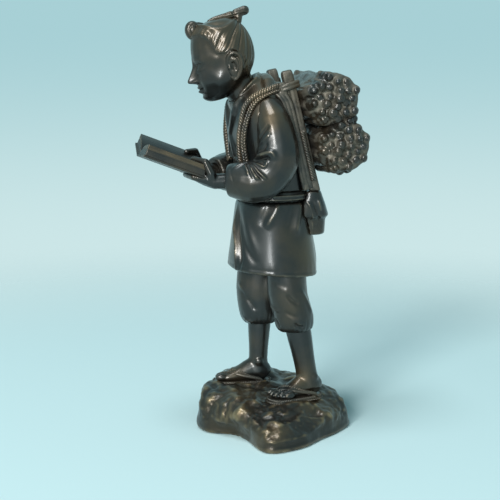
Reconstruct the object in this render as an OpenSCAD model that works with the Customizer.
/* [Rock base] */
// Width of the rock across the walk
rock_w = 104; // [98:1:110]
// Length of the rock along the walk
rock_d = 104; // [98:1:110]
// Height of the left foot seat above the table
rock_h = 21.5; // [20:0.5:24]
// Extra height of the right foot seat
step_up = 4; // [2:0.5:5]
// Wall of the hollow casting
rock_wall = 5; // [4:0.5:6]

/* [Feet and sandals] */
// Length of a foot from heel to toe tips
foot_len = 36; // [33:0.5:38]
// Width of a foot over its ball
foot_w = 14.5; // [13:0.5:16]
// Thickness of a straw sole
sole_t = 3; // [2.5:0.5:4]
// Margin of the sole around the foot
sole_rim = 1.5; // [1:0.25:2]
// Thickness of a sandal cord
cord_d = 2.4; // [2:0.2:3]
// Distance between the feet along the walk
stride = 28; // [24:1:30]
// Distance between the feet across the walk
stance = 28; // [27:0.5:30]

/* [Legs and trousers] */
// Diameter of the shin below the hem
shin_d = 13; // [11:0.5:14]
// Height of the trouser hems above the left sole
hem_rise = 43; // [40:1:46]
// Depth of a trouser leg, front to back
trouser_d = 34; // [31:1:36]
// Height of the skirt hem above the left sole
leg_h = 80.5; // [77:0.5:85]

/* [Tunic] */
// Width of the skirt at its hem
skirt_w = 64; // [60:1:68]
// Depth of the skirt at its hem
skirt_d = 57; // [53:1:60]
// Height of the skirt from hem to waist
skirt_h = 48; // [45:1:52]
// Width of the waist
waist_w = 54; // [50:1:58]
// Depth of the waist
waist_d = 46; // [43:1:48]
// Height from the sash to the shoulder line
chest_h = 47; // [44:1:50]
// Depth of the chest
chest_d = 43; // [40:1:45]
// Width over the shoulders
shoulder_w = 66; // [62:1:70]

/* [Sash] */
// Height of the waist sash
sash_h = 6; // [5:0.5:8]
// Stand of the sash from the tunic
sash_t = 1.5; // [1:0.25:2]
// Width of the tied bow behind
bow_w = 50; // [46:1:54]

/* [Arms and hands] */
// Width of a sleeve at the elbow
sleeve_d = 27; // [24:1:29]
// Diameter of a wrist
wrist_d = 10; // [8.5:0.5:11]
// Diameter of a finger
finger_d = 4.2; // [4:0.1:4.6]

/* [Book] */
// Height of a page along the spine
page_h = 41; // [38:1:44]
// Width of one page
page_w = 25; // [23:0.5:27]
// Thickness of one half of the pages
page_t = 7; // [5.5:0.5:8]
// Thickness of the cover
cover_t = 1.2; // [1:0.1:1.6]
// Slope of the spine, far end up
book_slope = 21; // [17:1:25]
// Lift of the left half from flat
page_lift = 5; // [3:0.5:8]
// Lift of the right half from flat
far_lift = 14; // [8:1:16]

/* [Head] */
// Width of the skull
head_w = 34; // [32:0.5:36]
// Depth of the skull
head_d = 38.5; // [36:0.5:40]
// Height of the head from chin to crown
head_h = 49; // [46:0.5:51]
// Nod of the face
head_pitch = 14; // [8:1:18]
// Diameter of the neck
neck_d = 21; // [19:0.5:23]
// Reach of the neck from its seat to the middle of the head
neck_len = 28.5; // [27:0.5:30]
// Thickness of the hair over the skull
hair_t = 1; // [0.8:0.1:1.4]

/* [Carrying frame] */
// Length of a post
post_len = 77; // [73:1:80]
// Width of a post
post_w = 7; // [6:0.5:8]
// Depth of a post
post_t = 7; // [6:0.5:8]
// Distance between the middles of the posts
post_gap = 38; // [36:1:40]
// Lean of the frame
frame_lean = 14; // [12:1:16]
// Thickness of the woven back pad
pad_t = 3.5; // [3:0.5:4.5]
// Diameter of a rung
rung_d = 4.4; // [4:0.2:5]
// Thickness of a shoulder rope
rope_d = 4.4; // [4:0.2:5]

/* [Firewood] */
// Diameter of a bundle
bundle_d = 35; // [33:0.5:37]
// Length of the middle sticks
bundle_len = 80; // [74:1:86]
// Diameter of a stick
stick_d = 6; // [5.6:0.2:6.4]
// Spacing of the two bundles up the frame
bundle_rise = 30.5; // [29:0.5:32]

/* [Fixings] */
// Diameter of a foot stud
stud_d = 5; // [4:0.5:5]
// Width across the flats of a nut
nut_af = 8; // [8:0.5:9]
// Height of a nut
nut_h = 4; // [3:0.5:4.5]
// Outer diameter of a washer
washer_d = 11; // [10:0.5:12]
// Thickness of a washer
washer_t = 1; // [0.8:0.1:1.4]
// Clearance round studs, rungs and spigots
fit_gap = 0.15; // [0.1:0.05:0.25]

/* [Hidden] */
right = -1;
left = 1;

bronze = "#35302b";
brown = "#4a3826";
steel = "#8a8a86";

// The figure walks towards -Y, its left side is +X
body_y = 14.5;
rock_at = [4.6, 14];
walk_y = 22;
foot_seat = [
    [-stance / 2, walk_y - stride / 2, rock_h + step_up],
    [stance / 2, walk_y + stride / 2, rock_h]
];
foot_turn = [-7, 14];
knee_y = [walk_y - 12, walk_y + 4.5];
calf = [1.15, 1.25];
ankle = [0.97, 1.07];
function which(side) = side < 0 ? 0 : 1;
function foot_at(side) = foot_seat[which(side)] + [0, 0, sole_t];
function hem_at(side) = [side * stance / 2, knee_y[which(side)], rock_h + sole_t + hem_rise];
shin_in = 12;
bore_up = 13;

skirt_z = rock_h + sole_t + leg_h;
waist_z = skirt_z + skirt_h;
chest_z = waist_z + sash_h;
hem_tilt = 5;
hem_lift = 1.2;
hem_wall = 3;
hem_recess = 4;
spigot_d = 18;
spigot_h = 12;

bow_top = chest_z;
frame_at = [0, body_y + 0.83 * waist_d / 2, bow_top];
post_x = post_gap / 2;
pad_w = post_gap + 10;
pad_low = 1.5;
pad_len = post_len - 8;
function on_frame_at(p) = frame_at + [p.x, p.y * cos(frame_lean) - p.z * sin(frame_lean),
    p.y * sin(frame_lean) + p.z * cos(frame_lean)];

neck_at = [0, -1.5, chest_z + 1.22 * chest_h];
neck_tilt = 35;
head_at = neck_at + neck_len * [0, -sin(neck_tilt), cos(neck_tilt)];

book_at = [0, -34.5, chest_z + 0.165 * chest_h];
function on_book_at(p) = book_at + [p.x, p.y * sin(book_slope) - p.z * cos(book_slope),
    p.y * cos(book_slope) + p.z * sin(book_slope)];
function cover_n(x) = x * tan(page_lift);

rock_roof = rock_h - rock_wall;
stud_low = rock_roof - washer_t - nut_h - 1;
bundle_r = bundle_d / 2;
bundle_sink = 3.8;
bundle_at = [[post_t + bundle_r - bundle_sink, 23], [post_t + bundle_r - bundle_sink, 23 + bundle_rise]];
bundle_back = 5;
sticks = 23;

// Curves, rings and skins
function unit(v) = v / norm(v);
function mix(a, b, t) = a + (b - a) * t;
function curve_at(k, i, t) =
    let (last = len(k) - 1, p = k[max(i - 1, 0)], q = k[i])
    let (r = k[min(i + 1, last)], s = k[min(i + 2, last)])
    0.5 * (2 * q + (r - p) * t + (2 * p - 5 * q + 4 * r - s) * t * t + (3 * q - p - 3 * r + s) * t * t * t);
function smooth(k, per) =
    [for (i = [0:len(k) - 2]) for (j = [0:per - 1]) curve_at(k, i, j / per), k[len(k) - 1]];
function closed(k, per) =
    let (n = len(k), w = concat([k[n - 1]], k, [k[0], k[1]]))
    [for (i = [1:n]) for (j = [0:per - 1]) curve_at(w, i, j / per)];
function spot(s) = [s[0], s[1], s[2]];
function heading(s, i) = unit(spot(s[min(i + 1, len(s) - 1)]) - spot(s[max(i - 1, 0)]));
function power(v, e) = sign(v) * pow(abs(v), e);
function bump(angle, at, wide) =
    let (d = abs(((angle - at) % 360 + 540) % 360 - 180))
    exp(-d * d / (wide * wide));
plain = function(angle, along) 1;
function ring(s, dir, side, n, square, swell, along) =
    let (u = unit(side - (side * dir) * dir), v = cross(dir, u), e = 2 / square)
    [for (i = [0:n - 1]) let (t = 360 * i / n)
        spot(s) + swell(t, along) * (s[3] * power(cos(t), e) * u + s[4] * power(sin(t), e) * v)];
function middle(pts) = [for (k = [0:2]) let (c = [for (p = pts) p[k]]) c * [for (p = pts) 1] / len(pts)];
function side_faces(rings, n) = [for (r = [0:rings - 2]) for (i = [0:n - 1])
    let (a = r * n + i, b = r * n + (i + 1) % n) each [[a, b + n, b], [a, a + n, b + n]]];
function cap_faces(first, hub, n, top) = [for (i = [0:n - 1])
    let (a = first + i, b = first + (i + 1) % n) top ? [hub, b, a] : [hub, a, b]];

// Solid skin over a stack of rings with the same number of points
module skin(rings) {
    n = len(rings[0]);
    m = len(rings);
    points = concat([for (r = rings) each r], [middle(rings[0]), middle(rings[m - 1])]);
    caps = concat(cap_faces(0, m * n, n, false), cap_faces((m - 1) * n, m * n + 1, n, true));
    polyhedron(points, concat(side_faces(m, n), caps));
}

// Skin along sections of [x, y, z, half width, half depth]
module loft(keys, per = 2, n = 24, side = [1, 0, 0], square = 2, swell = plain,
    axis = undef, first = undef, flat = -1000) {
    s = smooth(keys, per);
    m = len(s);
    dirs = [for (i = [0:m - 1])
        !is_undef(axis) ? axis : i == 0 && !is_undef(first) ? first : heading(s, i)];
    skin([for (i = [0:m - 1]) [for (p = ring(s[i], dirs[i], side, n, square, swell, i / (m - 1)))
        [p.x, p.y, max(p.z, flat)]]]);
}

// Outline of the rock and its levels
rock_lobes = [[-19, 54], [8, 49], [36, 42], [62, 46], [88, 53], [130, 49], [180, 52], [222, 52],
    [252, 51], [275, 45], [299, 30]];
rock_steps = [[0.98, 0, 0], [1, 0.2, 0], [0.985, 0.6, 0.08], [0.955, 0.92, 0.3], [0.865, 1.1, 0.5],
    [0.65, 1.2, 0.7], [0.34, 1.22, 0.8], [0.12, 1.23, 0.9]];
rock_edge = closed([for (l = rock_lobes) l[1] * [cos(l[0]) * rock_w / 103, sin(l[0]) * rock_d / 103]], 4);
rock_fall = 0.0065;
rock_rise = 0.002;
function rock_ring(size, z, rough, phase, even = 0) =
    [for (e = rock_edge) let (p = mix(e, 0.45 * rock_w * unit(e), even), t = atan2(p.y, p.x))
        let (f = size * (1 + rough * sin(5 * t + phase)))
        [rock_at.x + f * p.x, rock_at.y + f * p.y,
            z * (1 - f * (rock_fall * p.x + rock_rise * p.y)) + 40 * rough * sin(4 * t - phase)]];
function rock_level(i) =
    let (k = rock_steps[i]) rock_ring(k[0], k[1] * rock_h, i > 1 ? 0.02 : 0, 65 * i, k[2]);

// Middle of the outermost points: the rock sideways, the book and the firewood along the walk
rock_x = [for (i = [0:len(rock_steps) - 1]) for (p = rock_level(i)) p.x];
wood_y = [for (i = [0:sticks - 1]) stick_tip(0, i, 1).y + stick_size(0, i) / 2];
origin = [(max(rock_x) + min(rock_x)) / 2, (on_book_at([0, 0, page_h]).y + max(wood_y)) / 2, 0];
module placed() {
    translate(-origin) children();
}
module on_frame() {
    translate(frame_at) rotate([frame_lean, 0, 0]) children();
}
module on_book() {
    translate(book_at) rotate([90 - book_slope, 0, 0]) children();
}
module on_head() {
    translate(head_at) rotate([head_pitch, 0, 0]) children();
}
module on_neck() {
    translate(neck_at) rotate([neck_tilt, 0, 0]) children();
}
module on_foot(side) {
    translate(foot_at(side)) rotate(foot_turn[which(side)]) children();
}
module on_hem() {
    translate([0, body_y, skirt_z + hem_lift]) rotate([-hem_tilt, 0, 0]) children();
}
module ball(p, d) {
    translate(p) sphere(d = d, $fn = 8);
}
module limb(points, sizes) {
    for (i = [0:len(points) - 2])
        hull() {
            ball(points[i], sizes[i]);
            ball(points[i + 1], sizes[i + 1]);
        }
}

// Rock
module rock_form() {
    skin([for (i = [0:len(rock_steps) - 1]) rock_level(i)]);
}
module rock_hollow() {
    side = 1 - rock_wall / 42;
    difference() {
        skin([rock_ring(side, -1, 0, 0), rock_ring(side - 0.03, rock_h * 0.6, 0, 0),
            rock_ring(side - 0.18, rock_h * 1.05, 0, 0)]);
        translate([-rock_w, -rock_d, rock_roof]) cube([2 * rock_w, 2 * rock_d, 2 * rock_h]);
    }
}
module stud_bore(low, high) {
    for (p = foot_seat)
        translate([p.x, p.y, low]) cylinder(d = stud_d + 2 * fit_gap, h = high - low, $fn = 48);
}
module rock_base() {
    color(brown) placed() difference() {
        rock_form();
        rock_hollow();
        sole(right, 0.2, rock_h);
        sole(left, 0.2, rock_h);
        stud_bore(rock_roof - 1, rock_h + 10);
    }
}

// Sandals
heel_back = 0.22 * foot_len;
toe_ahead = foot_len - heel_back;
module sole(side, gap, tall) {
    translate([0, 0, -sole_t]) on_foot(side) hull() {
        for (c = [[heel_back - 5.5, 0.36], [-0.45 * foot_len, 0.47], [0.42 * foot_w - toe_ahead, 0.42]])
            translate([0, c[0], 0]) cylinder(r = c[1] * foot_w + sole_rim + gap, h = tall, $fn = 32);
    }
}
module cords(side) {
    on_foot(side) for (k = [-1, 1])
        loft([for (p = [[0.04, 0.65, 4.2], [0.2, 0.55, 5.4], [0.42, 0.38, 4.8], [0.5, 0.18, 3.4],
            [0.48, -0.03, 1.6], [0.4, -0.1, -1.5]])
            [k * p.x * foot_w, -p.y * foot_len, p.z, cord_d / 2, cord_d / 2]], n = 8, side = [0, 0, 1]);
}
module sandal(side) {
    color(brown) placed() difference() {
        union() {
            sole(side, 0, sole_t);
            difference() {
                cords(side);
                foot_form(side);
            }
        }
        stud_bore(rock_h - 5, rock_h + 10);
    }
}
module right_sandal() sandal(right);
module left_sandal() sandal(left);

// Legs
foot_keys = [[0.22, 3, 0.17, 3], [0.18, 4, 0.34, 5.5], [0.06, 6, 0.42, 8], [-0.1, 6.5, 0.42, 8],
    [-0.28, 4.4, 0.44, 6], [-0.46, 3, 0.49, 4.4], [-0.62, 2.2, 0.5, 3.2],
    [-0.73, 1.9, 0.44, 2.4], [-0.78, 1.6, 0.34, 1.5]];
module foot_form(side) {
    on_foot(side)
        loft([for (k = foot_keys) [0, k[0] * foot_len, k[1], k[2] * foot_w, k[3]]], n = 14, flat = 0);
}
module shin_form(side) {
    low = foot_at(side) + [0, 0.5, 5];
    high = hem_at(side) + [0, 0, shin_in];
    r = shin_d / 2;
    c = calf[which(side)];
    a = ankle[which(side)];
    loft([for (k = [[0, 1.1 * a, 1.18 * a], [0.2, 0.95 * a, 1.02 * a],
        [0.45, mix(0.97 * a, c, 0.4), mix(1.02 * a, c, 0.4)], [0.72, c, 1.04 * c], [1, c, 1.04 * c]])
        concat(mix(low, high, k[0]), [k[1] * r, k[2] * r])], n = 14, axis = [0, 0, 1]);
}
module leg(side) {
    color(bronze) placed() difference() {
        union() {
            foot_form(side);
            shin_form(side);
        }
        stud_bore(rock_h - 5, foot_at(side).z + bore_up);
    }
}
module right_leg() leg(right);
module left_leg() leg(left);

// Trousers
thigh_a = 0.46 * (skirt_w / 2 - hem_wall);
thigh_y = [-2, 6.2];
trouser_keys = [
    [[0, 0.66, 0.6, 0], [0.06, 0.84, 0.74, 0], [0.22, 0.98, 0.9, 0], [0.5, 1.04, 1.02, 0],
        [0.8, 1, 1, 0], [1, 1, 1, 0]],
    [[0, 0.66, 0.6, 0], [0.06, 0.84, 0.72, 0], [0.22, 0.98, 0.78, 0], [0.5, 1.04, 0.77, -2.2],
        [0.8, 1, 0.75, -1], [1, 1, 0.75, 0]]];
module trouser_form(side) {
    low = hem_at(side);
    high = [side * thigh_a, body_y + thigh_y[which(side)], skirt_z + 12];
    b = trouser_d / 2;
    loft([for (k = trouser_keys[which(side)])
        concat(mix(low, high, k[0]) + [0, k[3], 0], [k[1] * thigh_a, k[2] * b])], n = 22, axis = [0, 0, 1],
        swell = function(angle, along) 1 + 0.03 * (1 - along) * sin(5 * angle + 40 * side));
}
module trouser_leg(side) {
    color(bronze) placed() difference() {
        trouser_form(side);
        shin_form(side);
        translate([side < 0 ? 0 : -skirt_w, -skirt_w, 0]) cube([skirt_w, 3 * skirt_w, 2 * skirt_z]);
        on_hem() translate([-skirt_w, -skirt_w, hem_recess]) cube([2 * skirt_w, 2 * skirt_w, skirt_h]);
    }
}
module right_trouser_leg() trouser_leg(right);
module left_trouser_leg() trouser_leg(left);

// Tunic skirt
module skirt_form() {
    a = skirt_w / 2;
    b = skirt_d / 2;
    loft([[0, body_y, skirt_z - 6, a, b], [0, body_y, skirt_z + 8, 0.98 * a, 0.98 * b],
        [0, body_y, mix(skirt_z, waist_z, 0.55), 0.9 * a, 0.9 * b],
        [0, body_y, waist_z, waist_w / 2, waist_d / 2]],
        per = 3, n = 32, axis = [0, 0, 1], square = 2.2,
        swell = function(angle, along) 1 + (1 - along)
            * (0.05 * bump(angle, 303, 13) - 0.035 * bump(angle, 328, 12)
            + 0.02 * bump(angle, 240, 16) + 0.02 * bump(angle, 60, 14) - 0.02 * bump(angle, 90, 14)));
}
module tunic_skirt() {
    color(bronze) placed() difference() {
        skirt_form();
        on_hem() translate([-skirt_w, -skirt_w, -skirt_h]) cube([2 * skirt_w, 2 * skirt_w, skirt_h]);
        on_hem() loft([[0, 0, -5, skirt_w / 2 - hem_wall, skirt_d / 2 - hem_wall],
            [0, 0, hem_recess, skirt_w / 2 - hem_wall, skirt_d / 2 - hem_wall]], per = 1, n = 28);
        translate([0, body_y, waist_z - spigot_h]) cylinder(d = spigot_d + 2 * fit_gap, h = 40, $fn = 64);
    }
}

// Sash
module sash_form() {
    a = waist_w / 2;
    b = waist_d / 2;
    loft([for (k = [[0, 0], [0.2, 1], [0.8, 1], [1, 0]])
        [0, body_y, waist_z + k[0] * sash_h, a + k[1] * sash_t, b + k[1] * sash_t]], per = 1, n = 32,
        axis = [0, 0, 1], square = 2.2);
}
module waist_sash() {
    color(bronze) placed() difference() {
        sash_form();
        translate([0, body_y, waist_z - 1]) cylinder(d = spigot_d + 2 * fit_gap, h = sash_h + 2, $fn = 64);
    }
}
module sash_bow() {
    color(bronze) placed() difference() {
        loft([for (k = [[-29, 0.34, 10.4], [-28, 0.4, 11.2], [-18, 0.43, 11.4], [-16, 0.48, 13.2],
            [-9, 0.5, 10.6], [0, 0.48, 7]])
            [0, frame_at.y + 2.4, bow_top + k[0], k[1] * bow_w, k[2]]],
            per = 1, n = 28, axis = [0, 0, 1], square = 3.2);
        sash_form();
        skirt_form();
    }
}

// Tunic body
module torso_form() {
    a = shoulder_w / 2;
    b = chest_d / 2;
    loft([[0, body_y, chest_z, waist_w / 2 - 1, waist_d / 2 - 1],
        [0, 12, chest_z + 0.34 * chest_h, 0.86 * a, b],
        [0, 9, chest_z + 0.7 * chest_h, 0.95 * a, b], [0, 5, chest_z + chest_h, a, 0.89 * b],
        [0, 0, chest_z + 1.21 * chest_h, 0.79 * a, 0.7 * b],
        [0, -5, chest_z + 1.34 * chest_h, 0.43 * a, 0.58 * b]],
        n = 22, square = 2.15, first = [0, 0, 1]);
    loft([for (p = [[-0.74, 7, 0.23, 4], [-0.4, 9, 0.39, 5.5], [0, 9.5, 0.44, 6], [0.4, 9, 0.39, 5.5],
        [0.74, 7, 0.23, 4]]) [p[0] * a, p[1], chest_z + (1 + p[2]) * chest_h, p[3], p[3]]],
        n = 14, side = [0, 1, 0], axis = [1, 0, 0]);
}
module collar_form(side) {
    z = chest_z + chest_h;
    loft([for (p = [[-1, 5.5, 24.4], [8.6, 2.6, 22], [12.9, -4.6, 15.4], [11.4, -11.6, 6.2], [6, -13, -3],
        [-2, -12.4, -14], [-8, -10.4, -26]])
        [side * p.x, p.y, z + p.z, 3, 1.8]], n = 10, side = [0, 0, 1]);
}
module torso_cut() {
    on_frame() translate([-70, -pad_t, -20]) cube([140, 60, 200]);
}
module neck_socket() {
    on_neck() cylinder(d = neck_d + 2 * fit_gap, h = 40, $fn = 64);
}
module tunic_body() {
    color(bronze) placed() difference() {
        union() {
            torso_form();
            translate([0, body_y, waist_z - spigot_h + 0.5])
                cylinder(d = spigot_d, h = spigot_h + sash_h + 3, $fn = 64);
            collar_form(left);
            collar_form(right);
        }
        torso_cut();
        neck_socket();
    }
}

// Sleeves
wrist_at = on_book_at([23, 6.5, -14]);
elbow_r = 17;
module sleeve_form() {
    z = chest_z + chest_h;
    r = sleeve_d / 2;
    x = shoulder_w / 2;
    bend = [10 - elbow_r, wrist_at.z - 1 + elbow_r];
    arc = [for (t = [0, 30, 60, 85])
        [(1 - 0.0012 * t) * x, bend.x + elbow_r * cos(t), bend.y - elbow_r * sin(t), r, r]];
    loft(concat([[0.6 * x, 6, z + 6, 0.74 * r, 0.68 * r], [0.82 * x, 8, z - 3, 0.89 * r, 0.84 * r],
        [0.94 * x, 9.6, z - 12, 0.94 * r, 0.9 * r]], arc,
        [concat(mix(wrist_at, arc[3], 0.4), [0.84 * r, 0.86 * r]),
            concat(wrist_at - [0, 0, 0.5], [0.72 * r, 0.74 * r])]),
        n = 18);
}
module arm_form(tip) {
    difference() {
        sleeve_form();
        torso_form();
        back_pad_form();
        wrist_form(tip);
    }
}
module left_sleeve() {
    color(bronze) placed() arm_form(0);
}
module right_sleeve() {
    color(bronze) placed() mirror([1, 0, 0]) arm_form(far_lift - page_lift);
}

// Hands
module wrist_form(tip) {
    grip = [0.86 * page_w, 2, -5];
    end = on_book_at([grip.x * cos(tip) - grip.y * sin(tip), grip.x * sin(tip) + grip.y * cos(tip), grip.z]);
    start = wrist_at + [1, 8, -1];
    r = wrist_d / 2;
    loft([concat(start, [r, r]), concat(mix(start, end, 0.6), [r, r]), concat(end, [r, 0.9 * r])], n = 14);
}
function under(x, d) = cover_n(x) + 0.9 * cover_t - d / 2;
module hand_form(tip) {
    top = cover_t + page_t;
    on_book() rotate(tip) {
        hull() {
            ball([21.5, 2.6, -7], wrist_d);
            ball([19.5, 1.6, -3], 8.4);
            ball([22, 1.1, 4], 5.6);
        }
        for (j = [0:3])
            limb([[21.5, under(21.5, finger_d + 0.4), -4 + 3.5 * j],
                [15, under(15, finger_d), -2.5 + 3.6 * j], [8, under(8, finger_d - 0.4), -1.5 + 3.6 * j]],
                [finger_d + 0.4, finger_d, finger_d - 0.4]);
        limb([[22, 2, -5], [24.5, 6, -2.5], [22, cover_n(22) + top + 1.6, 3],
            [15.5, cover_n(15.5) + top + 1.2, 9.5]],
            [9, finger_d + 1.6, finger_d + 0.8, finger_d - 0.4]);
    }
}
module grip_form(tip) {
    wrist_form(tip);
    hand_form(tip);
}
module left_hand() {
    color(bronze) placed() difference() {
        grip_form(0);
        book_form();
    }
}
module right_hand() {
    color(bronze) placed() difference() {
        mirror([1, 0, 0]) grip_form(far_lift - page_lift);
        book_form();
    }
}

// Book
module book_form() {
    half = [for (t = [far_lift, page_lift]) page_w * [cos(t), sin(t)]];
    thick = [for (t = [far_lift, page_lift]) cover_t * [sin(t), cos(t)]];
    on_book() {
        linear_extrude(page_h) polygon([[-half[0].x, half[0].y], [0, 0], half[1],
            half[1] + [-thick[1].x, thick[1].y], [0, cover_t / cos(page_lift)],
            [thick[0].x - half[0].x, half[0].y + thick[0].y]]);
        translate([0, 0, 1]) linear_extrude(page_h - 2) for (k = [-1, 1]) {
            c = cos(k < 0 ? far_lift : page_lift);
            s = sin(k < 0 ? far_lift : page_lift);
            polygon([for (p = concat([[0, cover_t], [page_w - 1, cover_t]],
                [for (u = [1:-0.125:0]) [u * (page_w - 1), cover_t + page_t * (1 - 0.75 * pow(1 - u, 3))]]))
                [k * max(0, p.x * c - p.y * s), p.x * s + p.y * c]]);
        }
    }
}
module book() {
    color(brown) placed() book_form();
}

// Head
skull_keys = [[-0.46, 0.27, -8.8, 0.2], [-0.4, 0.56, -6.5, 0.5], [-0.28, 0.82, -3.2, 0.74],
    [-0.12, 0.95, -0.4, 0.93], [0.02, 1, 0.7, 1], [0.2, 0.99, 0.8, 0.99], [0.37, 0.86, 0.5, 0.86],
    [0.47, 0.64, 0.2, 0.64], [0.52, 0.36, 0, 0.36], [0.54, 0.1, 0, 0.1]];
crown_z = 0.54 * head_h;
hairline = [[-40, 19.2], [-14.8, 19.2], [-11.6, 18.8], [-8.3, 15.7], [-6.5, 10.7], [-4.9, 6.4], [-1.1, 5.4],
    [3, 6.2], [7, 4.6], [9.2, 0], [9.4, -6], [11, -12], [14, -17], [14, -40], [-40, -40]];
module skull_form(extra) {
    loft([for (k = skull_keys)
        [0, k[2], k[0] * (head_h + 2 * extra), k[1] * (head_w / 2 + extra), k[3] * (head_d / 2 + extra)]],
        n = 20, axis = [0, 0, 1], square = 2.15);
}
module hair_form() {
    difference() {
        skull_form(hair_t);
        rotate([90, 0, 90]) translate([0, 0, -head_w]) linear_extrude(2 * head_w)
            polygon(head_h / 49 * hairline);
        translate([0, -2, crown_z + 1]) scale([9, 12, 3]) sphere(1, $fn = 20);
    }
}
module face_form() {
    e = head_w / 34;
    hull() {
        ball([0, -19.6 * e, -7.5], 3.2);
        ball([0, -17.6 * e, 1], 2.4);
    }
    for (k = [-1, 1]) {
        hull() {
            ball([k * 2 * e, -18.2 * e, -8], 2.4);
            ball([0, -18.4 * e, -7.5], 2.6);
        }
        hull() {
            ball([k * 4.2 * e, -16.8 * e, -1.4], 2.6);
            ball([k * 9.6 * e, -14.2 * e, -1.6], 2.4);
        }
        hull() {
            ball([k * 3.6 * e, -17.4 * e, 3.4], 2.4);
            ball([k * 11 * e, -14 * e, 3], 2.4);
        }
        hull() {
            ball([k * 16.8 * e, 2.4, 2.4], 4);
            ball([k * 17.6 * e, 5.8, 0], 4.2);
            ball([k * 17.2 * e, 5.2, -5], 3.4);
            ball([k * 16 * e, 2.6, -10], 3);
        }
    }
    for (z = [-12.4, -14.4])
        hull() {
            ball([0, -17 * e, z], 2.2);
            ball([3.4 * e, -15.8 * e, -13.4], 1.4);
            ball([-3.4 * e, -15.8 * e, -13.4], 1.4);
        }
}
module head() {
    color(bronze) placed() {
        on_neck() cylinder(d1 = neck_d, d2 = neck_d - 2, h = neck_len - 2, $fn = 32);
        on_head() {
            skull_form(0);
            hair_form();
            face_form();
        }
    }
}
module forelock() {
    z = crown_z;
    color(bronze) placed() on_head() difference() {
        hull() for (p = [[-13.6, -5, 8], [-13.8, -0.8, 7.6], [-10.4, -0.6, 6.6], [-5.5, -0.4, 3.4]])
            translate([0, p[0], z + p[1]]) sphere(d = p[2], $fn = 20);
        skull_form(hair_t);
    }
}
module topknot() {
    z = crown_z;
    color(bronze) placed() on_head() difference() {
        union() {
            loft([[0, -3, z - 0.2, 1.2, 0.9], [0, 2, z + 0.2, 2.4, 1.7], [0, 10, z - 0.1, 2.8, 2.5],
                [0, 17, z + 0.5, 3, 2.9], [0, 21.5, z + 0.9, 2.9, 2.8], [0, 23.6, z + 1.1, 2, 2],
                [0, 24.4, z + 1.2, 0.8, 0.8]], n = 14);
            loft([[0, 13.6, z - 8, 2.6, 2.6], [0, 16, z - 4, 2.9, 2.9], [0, 17.6, z, 2.4, 2.4]], n = 12);
        }
        skull_form(hair_t);
    }
}

// Carrying frame
module back_pad_form() {
    on_frame() translate([-pad_w / 2, -pad_t, pad_low]) cube([pad_w, pad_t, pad_len]);
}
module back_pad() {
    color(brown) placed() back_pad_form();
}
rung_z = [12, post_len * 0.46, post_len * 0.82];
module post(side) {
    color(brown) placed() difference() {
        on_frame() translate([side * post_x, 0, 0]) {
            translate([-post_w / 2, 0, -3]) cube([post_w, post_t, post_len + 3 - post_w / 2]);
            translate([0, post_t, post_len - post_w / 2])
                rotate([90, 0, 0]) cylinder(d = post_w, h = post_t, $fn = 48);
        }
        translate([-50, 0, bow_top - 20]) cube([100, 100, 20]);
        rung_bar(fit_gap);
    }
}
module right_post() post(right);
module left_post() post(left);
module rung_bar(gap) {
    long = post_gap + post_w - 3 + 2 * gap;
    on_frame() for (z = rung_z)
        translate([-long / 2, post_t / 2, z])
            rotate([0, 90, 0]) cylinder(d = rung_d + 2 * gap, h = long, $fn = 40);
}
module rungs() {
    color(brown) placed() rung_bar(0);
}

// Ropes
module cord(points, d) {
    z = chest_z + chest_h;
    x = shoulder_w / 2;
    loft([for (p = points) [p[0] * x, p[1], z + p[2], d / 2, d / 2]], n = 10);
}
module left_rope_form() {
    difference() {
        union() {
            cord([[0.42, -10.4, -30], [0.45, -11.3, -21.6], [0.54, -12, -11.3], [0.635, -11.2, -0.6],
                [0.72, -9, 7.2], [0.755, -3.6, 13], [0.76, 4.6, 17], [0.66, 12.3, 19.2], [0.6, 17, 19.4]],
                1.14 * rope_d);
            cord([[0.75, -7.8, -29], [0.76, -9.6, -20], [0.765, -9.8, -11], [0.785, -7.7, -0.4],
                [0.795, -3.9, 8], [0.785, 2.2, 13], [0.74, 8.7, 15.6], [0.64, 14.9, 17], [0.6, 18, 17]],
                0.9 * rope_d);
        }
        torso_form();
        sleeve_form();
        on_frame() translate([-post_gap, 0, 0]) cube([2 * post_gap, post_gap, 2 * post_len]);
        back_pad_form();
    }
}
module left_shoulder_rope() {
    color(brown) placed() left_rope_form();
}
module right_shoulder_rope() {
    color(brown) placed() mirror([1, 0, 0]) left_rope_form();
}
module post_rope(side) {
    color(brown) placed() on_frame()
        loft([for (z = [6, 9, 36, 39])
            [side * (post_x + post_w / 2 + rope_d / 2 * 0.8), post_t / 2, z, rope_d * 0.4,
                (z == 6 || z == 39 ? 0.6 : 1) * rope_d * 0.8]],
            per = 1, n = 12, side = [1, 0, 0], axis = [0, 0, 1], square = 3);
}
module right_post_rope() post_rope(right);
module left_post_rope() post_rope(left);

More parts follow.
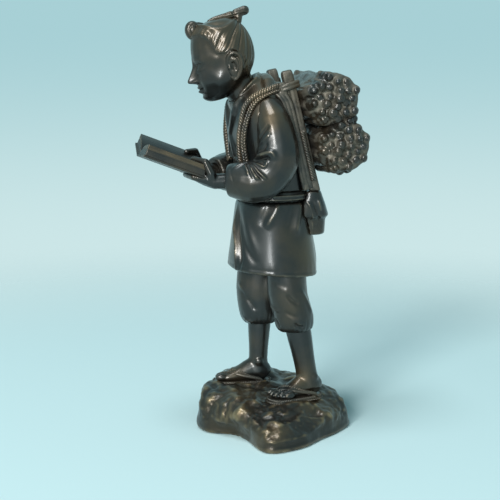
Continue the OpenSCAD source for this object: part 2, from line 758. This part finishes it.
// Firewood
function stick_spot(i) =
    let (r = (bundle_r - stick_d / 2) * sqrt((i + 0.5) / sticks))
    r * [cos(137.5 * i), sin(137.5 * i)];
function vary(i, k) = sin(97 * i + 61 * k);
function stick_size(level, i) = stick_d * (1 + 0.12 * vary(i, level));
function stick_reach(level, i, k) =
    let (p = stick_spot(i), q = bundle_at[level] + [bundle_back, 0] + (1 + 0.05 * k) * p)
    [k * (bundle_len / 2 - 0.012 * p * p + 2 * vary(i, k + level)), q.x, q.y];
function stick_tip(level, i, k) = on_frame_at(stick_reach(level, i, k));
module stick_end(at, d, turn) {
    translate(at) rotate([0, 90, 0]) rotate(turn) cylinder(d = d, h = 0.6, center = true, $fn = 6);
}
module stick(level, i) {
    p = bundle_at[level] + 0.95 * stick_spot(i);
    d = stick_size(level, i);
    for (k = [-1, 1])
        hull() {
            stick_end([0, p.x, p.y], d, 29 * i);
            stick_end(stick_reach(level, i, k), d, 29 * i);
        }
}
module core(level) {
    p = bundle_at[level];
    high = bundle_rise / 2 - 0.1;
    loft([for (k = [[-1, 1, 0.8], [-0.9, 0.9, 0.93], [0, 0, 0.86], [0.9, 0.9, 0.93], [1, 1, 0.8]])
        [k[0] * (bundle_len / 2 - 4), p.x + k[1] * bundle_back, p.y, k[2] * bundle_r,
            min(k[2] * bundle_r, high)]],
        per = 1, n = 16, side = [0, 1, 0], axis = [1, 0, 0]);
}
module bundle(level) {
    step = bundle_at[level] - bundle_at[1 - level];
    color(brown) placed() difference() {
        on_frame() {
            core(level);
            for (i = [0:sticks - 1]) {
                p = stick_spot(i);
                if (norm(p) < norm(step + p) + 1 && bundle_at[level].x + p.x > post_t - 1)
                    stick(level, i);
            }
        }
        on_frame() translate([-bundle_len, post_t - bundle_len, -bundle_len])
            cube([2 * bundle_len, bundle_len, 4 * bundle_len]);
    }
}
module upper_bundle() bundle(1);
module lower_bundle() bundle(0);

// Fixings
module foot_studs() {
    color(steel) placed() for (k = [0, 1]) {
        p = foot_seat[k];
        translate([p.x, p.y, stud_low])
            cylinder(d = stud_d, h = p.z + sole_t + bore_up - 0.5 - stud_low, $fn = 48);
    }
}
module stud_washers() {
    color(steel) placed() for (p = foot_seat)
        translate([p.x, p.y, rock_roof - washer_t]) difference() {
            cylinder(d = washer_d, h = washer_t, $fn = 48);
            translate([0, 0, -1]) cylinder(d = stud_d + 2 * fit_gap, h = washer_t + 2, $fn = 48);
        }
}
module stud_nuts() {
    color(steel) placed() for (p = foot_seat)
        translate([p.x, p.y, rock_roof - washer_t - nut_h]) difference() {
            cylinder(d = nut_af / cos(30), h = nut_h, $fn = 6);
            translate([0, 0, -1]) cylinder(d = stud_d + 2 * fit_gap, h = nut_h + 2, $fn = 48);
        }
}

rock_base();
right_sandal();
left_sandal();
right_leg();
left_leg();
right_trouser_leg();
left_trouser_leg();
tunic_skirt();
waist_sash();
sash_bow();
tunic_body();
right_sleeve();
left_sleeve();
right_hand();
left_hand();
book();
head();
forelock();
topknot();
right_shoulder_rope();
left_shoulder_rope();
right_post_rope();
left_post_rope();
back_pad();
right_post();
left_post();
rungs();
upper_bundle();
lower_bundle();
foot_studs();
stud_washers();
stud_nuts();
